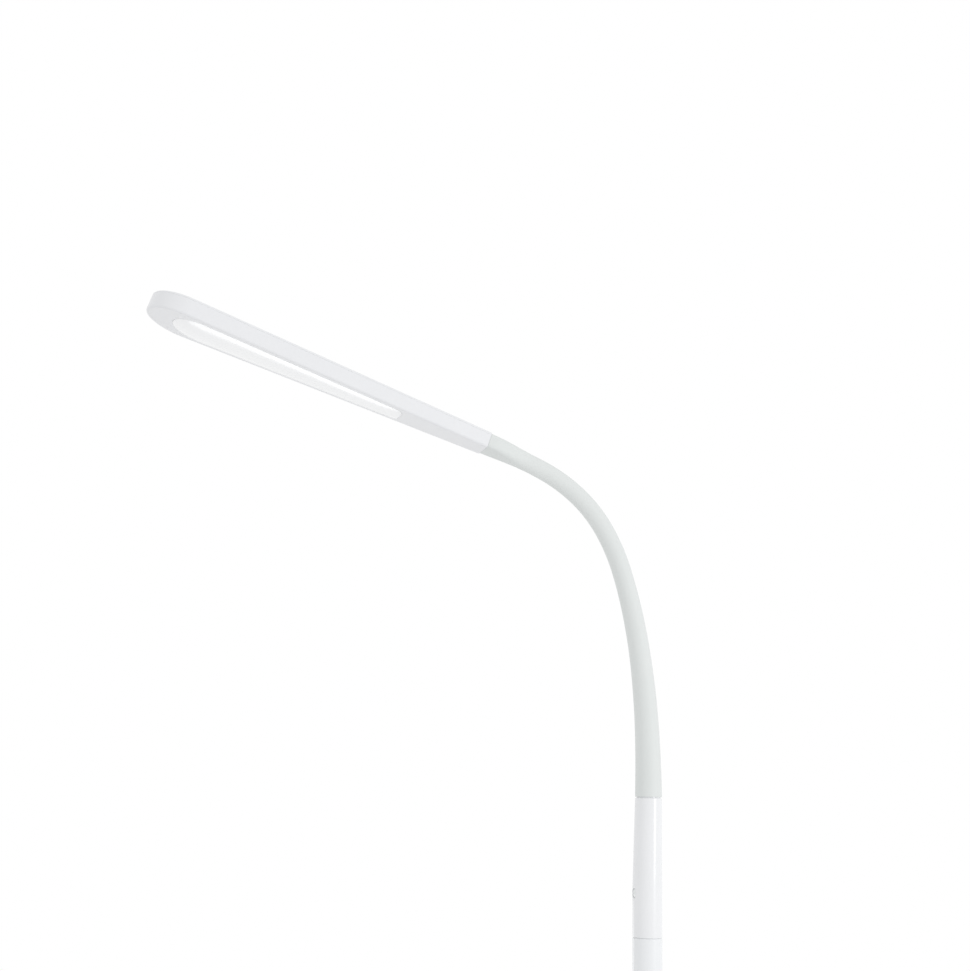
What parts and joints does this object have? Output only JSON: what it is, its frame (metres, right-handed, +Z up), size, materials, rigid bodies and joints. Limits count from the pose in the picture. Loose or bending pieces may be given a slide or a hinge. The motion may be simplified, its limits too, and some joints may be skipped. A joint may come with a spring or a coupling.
{
  "type": "gooseneck reading floor lamp",
  "caption": "Floor lamp with a long flat tapering head, a bendable sleeved neck, a control housing with a push button, a sectional pole and a round weighted base.",
  "frame": {"origin": "on the floor under the pole axis, on the underside of the base pad", "axes": "+Z up along the pole; the neck and head lean towards -Y; X runs across the head"},
  "size_m": [0.25, 0.5502, 1.4211],
  "materials": {
    "white_shell": "glossy white ABS, moulded",
    "white_paint": "glossy white powder coat on steel tube",
    "button_cap": "satin white ABS",
    "sleeve_silicone": "matte off-white silicone, moulded",
    "diffuser_opal": "opal PMMA, satin",
    "reflector_white": "white polycarbonate, moulded",
    "weight_iron": "cast iron, sealed",
    "pad_foam": "closed-cell foam rubber",
    "steel_plain": "zinc-plated steel",
    "core_steel": "turned steel",
    "joiner_alloy": "turned aluminium",
    "board_alloy": "white-masked aluminium board and bare plate",
    "board_green": "green fibreglass laminate",
    "black_plastic": "black nylon, moulded",
    "socket_nylon": "natural nylon",
    "lead_jacket": "white PVC jacket",
    "led_phosphor": "yellow phosphor in a white package"
  },
  "bodies": {
    "root": {"base_cover": "white_shell", "base_weight": "weight_iron", "base_pad": "pad_foam", "base_screws": "steel_plain", "base_stem": "steel_plain", "stem_washer": "steel_plain", "stem_nut": "steel_plain", "power_jack": "black_plastic", "power_lead": "lead_jacket", "lower_pole": "white_paint", "lower_pole_joiner": "joiner_alloy", "middle_pole": "white_paint", "middle_pole_joiner": "joiner_alloy", "upper_pole": "white_paint", "upper_pole_joiner": "joiner_alloy", "control_housing": "white_shell", "switch_body": "black_plastic", "switch_dome": "steel_plain", "control_board": "board_green", "control_parts": "black_plastic", "board_connectors": "socket_nylon", "neck_root": "core_steel", "neck_sleeve": "sleeve_silicone", "neck_lead": "lead_jacket"},
    "button": {"control_button": "button_cap", "switch_stem": "black_plastic"},
    "neck_1": {"neck_link_1": "core_steel"},
    "neck_2": {"neck_link_2": "core_steel"},
    "neck_3": {"neck_link_3": "core_steel"},
    "neck_4": {"neck_link_4": "core_steel"},
    "neck_5": {"neck_link_5": "core_steel"},
    "neck_6": {"neck_link_6": "core_steel"},
    "neck_7": {"neck_link_7": "core_steel"},
    "head": {"neck_tip": "core_steel", "head_tray": "white_shell", "head_cover": "white_shell", "diffuser": "diffuser_opal", "reflector": "reflector_white", "led_board": "board_alloy", "leds": "led_phosphor", "led_socket": "socket_nylon", "heat_spreader": "board_alloy", "head_screws": "steel_plain", "tongue_screws": "steel_plain"}
  },
  "joints": [
    {"name": "neck_side_1", "type": "hinge", "parent": "root", "child": "neck_1", "pos_m": [0, 0.0003, 1.07499], "axis": [0, 0.9994, 0.0349], "range_deg": [-35, 35], "deforming": ["neck_sleeve", "neck_lead"]},
    {"name": "neck_bend_2", "type": "hinge", "parent": "neck_1", "child": "neck_2", "pos_m": [0, -0.00197, 1.11206], "axis": [1, 0, 0], "range_deg": [-36, 30], "deforming": ["neck_sleeve", "neck_lead"]},
    {"name": "neck_bend_3", "type": "hinge", "parent": "neck_2", "child": "neck_3", "pos_m": [0, -0.00633, 1.14894], "axis": [1, 0, 0], "range_deg": [-37, 29], "deforming": ["neck_sleeve", "neck_lead"]},
    {"name": "neck_side_4", "type": "hinge", "parent": "neck_3", "child": "neck_4", "pos_m": [0, -0.01326, 1.18542], "axis": [0, 0.9744, 0.225], "range_deg": [-35, 35], "deforming": ["neck_sleeve", "neck_lead"]},
    {"name": "neck_bend_5", "type": "hinge", "parent": "neck_4", "child": "neck_5", "pos_m": [0, -0.02333, 1.22116], "axis": [1, 0, 0], "range_deg": [-42.5, 23.5], "deforming": ["neck_sleeve", "neck_lead"]},
    {"name": "neck_bend_6", "type": "hinge", "parent": "neck_5", "child": "neck_6", "pos_m": [0, -0.03914, 1.25467], "axis": [1, 0, 0], "range_deg": [-49, 17], "deforming": ["neck_sleeve", "neck_lead"]},
    {"name": "neck_bend_7", "type": "hinge", "parent": "neck_6", "child": "neck_7", "pos_m": [0, -0.06353, 1.28248], "axis": [1, 0, 0], "range_deg": [-50, 16], "deforming": ["neck_sleeve", "neck_lead"]},
    {"name": "neck_bend_8", "type": "hinge", "parent": "neck_7", "child": "head", "pos_m": [0, -0.09503, 1.30194], "axis": [1, 0, 0], "range_deg": [-46.5, 19.5], "deforming": ["neck_sleeve", "neck_lead"]},
    {"name": "button_press", "type": "slide", "parent": "root", "child": "button", "axis": [0, 1, 0], "range_m": [0, 0.0006], "stiffness_N_per_m": 1500, "springref_m": -0.0004, "deforming": ["switch_dome"]}
  ]
}
